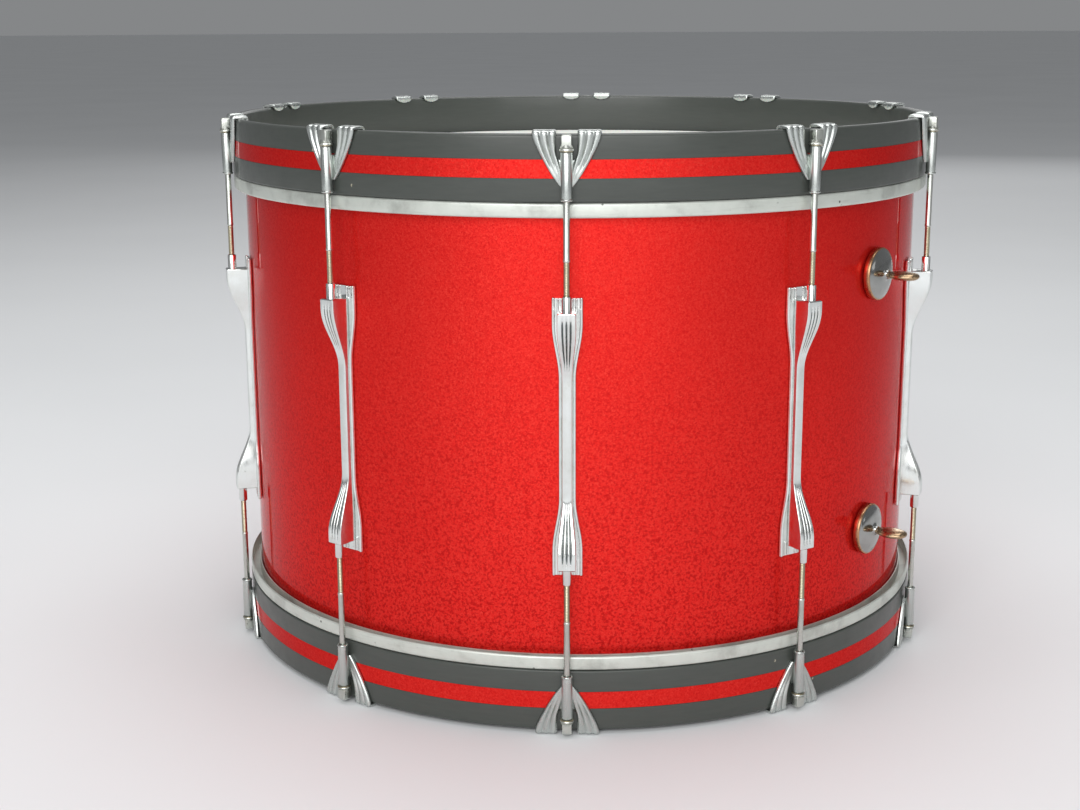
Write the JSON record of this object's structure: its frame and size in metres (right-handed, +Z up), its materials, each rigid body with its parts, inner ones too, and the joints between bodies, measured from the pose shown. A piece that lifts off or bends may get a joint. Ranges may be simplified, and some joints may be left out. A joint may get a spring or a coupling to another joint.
{
  "type": "double-headed drum",
  "caption": "Shallow two-headed wooden drum standing on end, with a glossy sparkle shell, black counterhoops, long double-ended lugs, claw hooks, tension rods and turn-knob tone controls.",
  "frame": {"origin": "centre of the circle the drum stands on, at floor level", "axes": "+Z up along the drum's axis; the first lug faces -Y; azimuths run from -Y towards +X"},
  "size_m": [0.5252, 0.5444, 0.3984],
  "materials": {
    "sparkle_shell": "gloss red sparkle wrap over plywood",
    "black_hoop": "satin black lacquer, red sparkle inlay",
    "drumhead": "matt film in a dull aluminium flesh hoop",
    "lug_chrome": "polished",
    "claw_chrome": "polished",
    "rod_nickel": "nickel plate, worn to brass on the thread",
    "knob_nickel": "nickel plate worn to brass at the edges",
    "damper_steel": "plain",
    "grommet_nickel": "nickel plated"
  },
  "bodies": {
    "drum_frame": {"shell": "sparkle_shell", "upper_counterhoop": "black_hoop", "lower_counterhoop": "black_hoop", "upper_head": "drumhead", "lower_head": "drumhead", "vent_grommet": "grommet_nickel", "lug_01": "lug_chrome", "lug_02": "lug_chrome", "lug_03": "lug_chrome", "lug_04": "lug_chrome", "lug_05": "lug_chrome", "lug_06": "lug_chrome", "lug_07": "lug_chrome", "lug_08": "lug_chrome", "lug_09": "lug_chrome", "lug_10": "lug_chrome", "upper_claw_01": "claw_chrome", "upper_claw_02": "claw_chrome", "upper_claw_03": "claw_chrome", "upper_claw_04": "claw_chrome", "upper_claw_05": "claw_chrome", "upper_claw_06": "claw_chrome", "upper_claw_07": "claw_chrome", "upper_claw_08": "claw_chrome", "upper_claw_09": "claw_chrome", "upper_claw_10": "claw_chrome", "lower_claw_01": "claw_chrome", "lower_claw_02": "claw_chrome", "lower_claw_03": "claw_chrome", "lower_claw_04": "claw_chrome", "lower_claw_05": "claw_chrome", "lower_claw_06": "claw_chrome", "lower_claw_07": "claw_chrome", "lower_claw_08": "claw_chrome", "lower_claw_09": "claw_chrome", "lower_claw_10": "claw_chrome"},
    "upper_rod_01": {"upper_rod_01": "rod_nickel"},
    "upper_rod_02": {"upper_rod_02": "rod_nickel"},
    "upper_rod_03": {"upper_rod_03": "rod_nickel"},
    "upper_rod_04": {"upper_rod_04": "rod_nickel"},
    "upper_rod_05": {"upper_rod_05": "rod_nickel"},
    "upper_rod_06": {"upper_rod_06": "rod_nickel"},
    "upper_rod_07": {"upper_rod_07": "rod_nickel"},
    "upper_rod_08": {"upper_rod_08": "rod_nickel"},
    "upper_rod_09": {"upper_rod_09": "rod_nickel"},
    "upper_rod_10": {"upper_rod_10": "rod_nickel"},
    "upper_tone_control": {"upper_tone_knob": "knob_nickel", "upper_damper_arm": "damper_steel"},
    "lower_rod_01": {"lower_rod_01": "rod_nickel"},
    "lower_rod_02": {"lower_rod_02": "rod_nickel"},
    "lower_rod_03": {"lower_rod_03": "rod_nickel"},
    "lower_rod_04": {"lower_rod_04": "rod_nickel"},
    "lower_rod_05": {"lower_rod_05": "rod_nickel"},
    "lower_rod_06": {"lower_rod_06": "rod_nickel"},
    "lower_rod_07": {"lower_rod_07": "rod_nickel"},
    "lower_rod_08": {"lower_rod_08": "rod_nickel"},
    "lower_rod_09": {"lower_rod_09": "rod_nickel"},
    "lower_rod_10": {"lower_rod_10": "rod_nickel"},
    "lower_tone_control": {"lower_tone_knob": "knob_nickel", "lower_damper_arm": "damper_steel"}
  },
  "joints": [
    {"name": "upper_rod_01_turn", "type": "hinge", "parent": "drum_frame", "child": "upper_rod_01", "pos_m": [0, -0.2675, 0.3292], "axis": [0, 0, -1], "range_deg": [-405, 135]},
    {"name": "upper_rod_02_turn", "type": "hinge", "parent": "drum_frame", "child": "upper_rod_02", "pos_m": [0.15723, -0.21641, 0.3292], "axis": [0, 0, -1], "range_deg": [-405, 135]},
    {"name": "upper_rod_03_turn", "type": "hinge", "parent": "drum_frame", "child": "upper_rod_03", "pos_m": [0.25441, -0.08266, 0.3292], "axis": [0, 0, -1], "range_deg": [-405, 135]},
    {"name": "upper_rod_04_turn", "type": "hinge", "parent": "drum_frame", "child": "upper_rod_04", "pos_m": [0.25441, 0.08266, 0.3292], "axis": [0, 0, -1], "range_deg": [-405, 135]},
    {"name": "upper_rod_05_turn", "type": "hinge", "parent": "drum_frame", "child": "upper_rod_05", "pos_m": [0.15723, 0.21641, 0.3292], "axis": [0, 0, -1], "range_deg": [-405, 135]},
    {"name": "upper_rod_06_turn", "type": "hinge", "parent": "drum_frame", "child": "upper_rod_06", "pos_m": [0, 0.2675, 0.3292], "axis": [0, 0, -1], "range_deg": [-405, 135]},
    {"name": "upper_rod_07_turn", "type": "hinge", "parent": "drum_frame", "child": "upper_rod_07", "pos_m": [-0.15723, 0.21641, 0.3292], "axis": [0, 0, -1], "range_deg": [-405, 135]},
    {"name": "upper_rod_08_turn", "type": "hinge", "parent": "drum_frame", "child": "upper_rod_08", "pos_m": [-0.25441, 0.08266, 0.3292], "axis": [0, 0, -1], "range_deg": [-405, 135]},
    {"name": "upper_rod_09_turn", "type": "hinge", "parent": "drum_frame", "child": "upper_rod_09", "pos_m": [-0.25441, -0.08266, 0.3292], "axis": [0, 0, -1], "range_deg": [-405, 135]},
    {"name": "upper_rod_10_turn", "type": "hinge", "parent": "drum_frame", "child": "upper_rod_10", "pos_m": [-0.15723, -0.21641, 0.3292], "axis": [0, 0, -1], "range_deg": [-405, 135]},
    {"name": "upper_tone_control_turn", "type": "hinge", "parent": "drum_frame", "child": "upper_tone_control", "pos_m": [0.20806, -0.14569, 0.2928], "axis": [-0.8192, 0.5736, 0], "range_deg": [0, 55]},
    {"name": "lower_rod_01_turn", "type": "hinge", "parent": "drum_frame", "child": "lower_rod_01", "pos_m": [0, -0.2675, 0.0692], "axis": [0, 0, 1], "range_deg": [-405, 135]},
    {"name": "lower_rod_02_turn", "type": "hinge", "parent": "drum_frame", "child": "lower_rod_02", "pos_m": [0.15723, -0.21641, 0.0692], "axis": [0, 0, 1], "range_deg": [-405, 135]},
    {"name": "lower_rod_03_turn", "type": "hinge", "parent": "drum_frame", "child": "lower_rod_03", "pos_m": [0.25441, -0.08266, 0.0692], "axis": [0, 0, 1], "range_deg": [-405, 135]},
    {"name": "lower_rod_04_turn", "type": "hinge", "parent": "drum_frame", "child": "lower_rod_04", "pos_m": [0.25441, 0.08266, 0.0692], "axis": [0, 0, 1], "range_deg": [-405, 135]},
    {"name": "lower_rod_05_turn", "type": "hinge", "parent": "drum_frame", "child": "lower_rod_05", "pos_m": [0.15723, 0.21641, 0.0692], "axis": [0, 0, 1], "range_deg": [-405, 135]},
    {"name": "lower_rod_06_turn", "type": "hinge", "parent": "drum_frame", "child": "lower_rod_06", "pos_m": [0, 0.2675, 0.0692], "axis": [0, 0, 1], "range_deg": [-405, 135]},
    {"name": "lower_rod_07_turn", "type": "hinge", "parent": "drum_frame", "child": "lower_rod_07", "pos_m": [-0.15723, 0.21641, 0.0692], "axis": [0, 0, 1], "range_deg": [-405, 135]},
    {"name": "lower_rod_08_turn", "type": "hinge", "parent": "drum_frame", "child": "lower_rod_08", "pos_m": [-0.25441, 0.08266, 0.0692], "axis": [0, 0, 1], "range_deg": [-405, 135]},
    {"name": "lower_rod_09_turn", "type": "hinge", "parent": "drum_frame", "child": "lower_rod_09", "pos_m": [-0.25441, -0.08266, 0.0692], "axis": [0, 0, 1], "range_deg": [-405, 135]},
    {"name": "lower_rod_10_turn", "type": "hinge", "parent": "drum_frame", "child": "lower_rod_10", "pos_m": [-0.15723, -0.21641, 0.0692], "axis": [0, 0, 1], "range_deg": [-405, 135]},
    {"name": "lower_tone_control_turn", "type": "hinge", "parent": "drum_frame", "child": "lower_tone_control", "pos_m": [0.20806, -0.14569, 0.1096], "axis": [0.8192, -0.5736, 0], "range_deg": [0, 55]}
  ]
}
